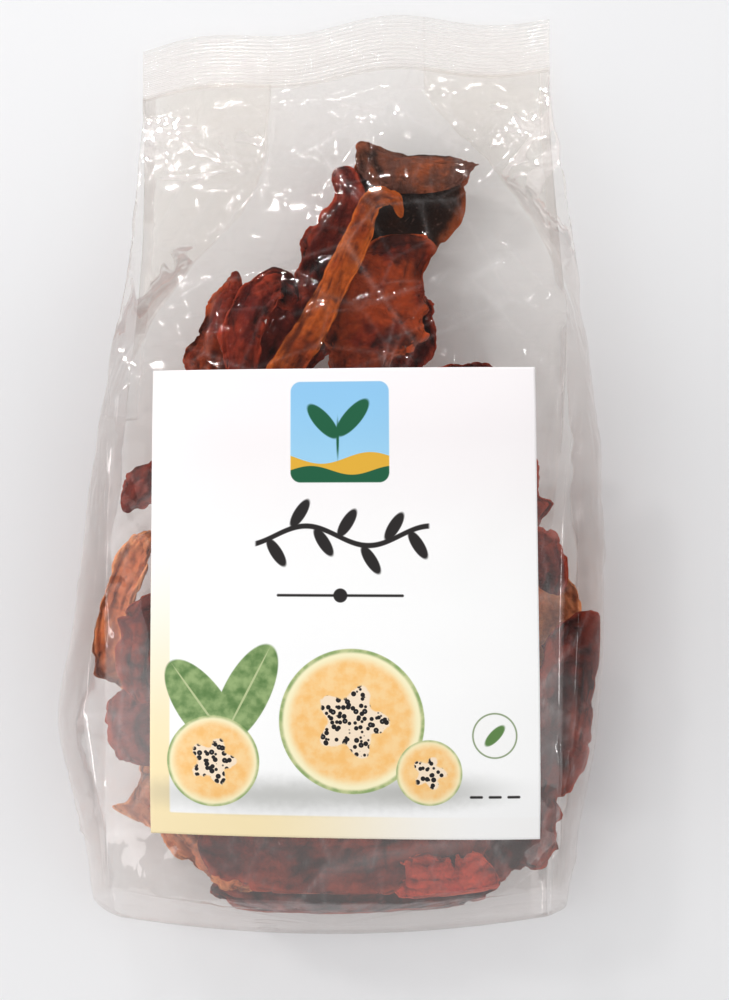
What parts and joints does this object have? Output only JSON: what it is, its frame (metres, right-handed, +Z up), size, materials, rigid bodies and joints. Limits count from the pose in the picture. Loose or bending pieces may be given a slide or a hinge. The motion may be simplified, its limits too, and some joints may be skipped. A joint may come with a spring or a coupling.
{
  "type": "bag of dried papaya",
  "caption": "Clear side-gusset film bag of dried papaya strips, lying on its back, with a plain paper label on its front and a ribbed heat seal across its end.",
  "frame": {"origin": "on the surface that the bag lies on, under the middle of its outline", "axes": "+Y along the bag towards its heat seal, +X to the right seen from above, +Z up through the label"},
  "size_m": [0.1315, 0.2258, 0.0469],
  "materials": {
    "film": "clear glossy film",
    "label_paper": "smooth coated paper",
    "fruit_mauve": "dry and leathery",
    "fruit_maroon": "leathery with a slight gloss",
    "fruit_red": "leathery with a slight gloss",
    "fruit_amber": "leathery with a slight gloss",
    "fruit_tan": "dry and leathery"
  },
  "bodies": {
    "root": {"film_bag": "film", "front_label": "label_paper", "papaya_top_fold": "fruit_mauve", "papaya_dark_knob": "fruit_maroon", "papaya_amber_hook": "fruit_amber", "papaya_red_sheet": "fruit_red", "papaya_small_scrap": "fruit_maroon", "papaya_pointed_strip": "fruit_red", "papaya_arched_strip": "fruit_maroon", "papaya_dark_wedge": "fruit_maroon", "papaya_label_top_strip": "fruit_maroon", "papaya_left_tip": "fruit_maroon", "papaya_left_tan": "fruit_tan", "papaya_left_upper_maroon": "fruit_maroon", "papaya_left_lower_maroon": "fruit_maroon", "papaya_left_hook": "fruit_tan", "papaya_right_horn": "fruit_maroon", "papaya_right_lobe": "fruit_maroon", "papaya_right_tan": "fruit_tan", "papaya_right_big": "fruit_maroon", "papaya_bottom_tan": "fruit_tan", "papaya_bottom_dark": "fruit_maroon", "papaya_bottom_red": "fruit_red", "papaya_bottom_edge": "fruit_red", "papaya_upper_left": "fruit_red", "papaya_upper_middle": "fruit_maroon", "papaya_upper_right": "fruit_red", "papaya_inner_left": "fruit_amber", "papaya_inner_middle": "fruit_red", "papaya_inner_right": "fruit_tan", "papaya_middle_low": "fruit_red", "papaya_middle_belly": "fruit_amber", "papaya_middle_high": "fruit_maroon", "papaya_middle_neck": "fruit_tan", "papaya_low_left": "fruit_maroon", "papaya_low_middle": "fruit_amber", "papaya_low_right": "fruit_red", "papaya_low_side": "fruit_tan", "papaya_neck_left": "fruit_amber", "papaya_neck_right": "fruit_maroon"}
  },
  "joints": []
}
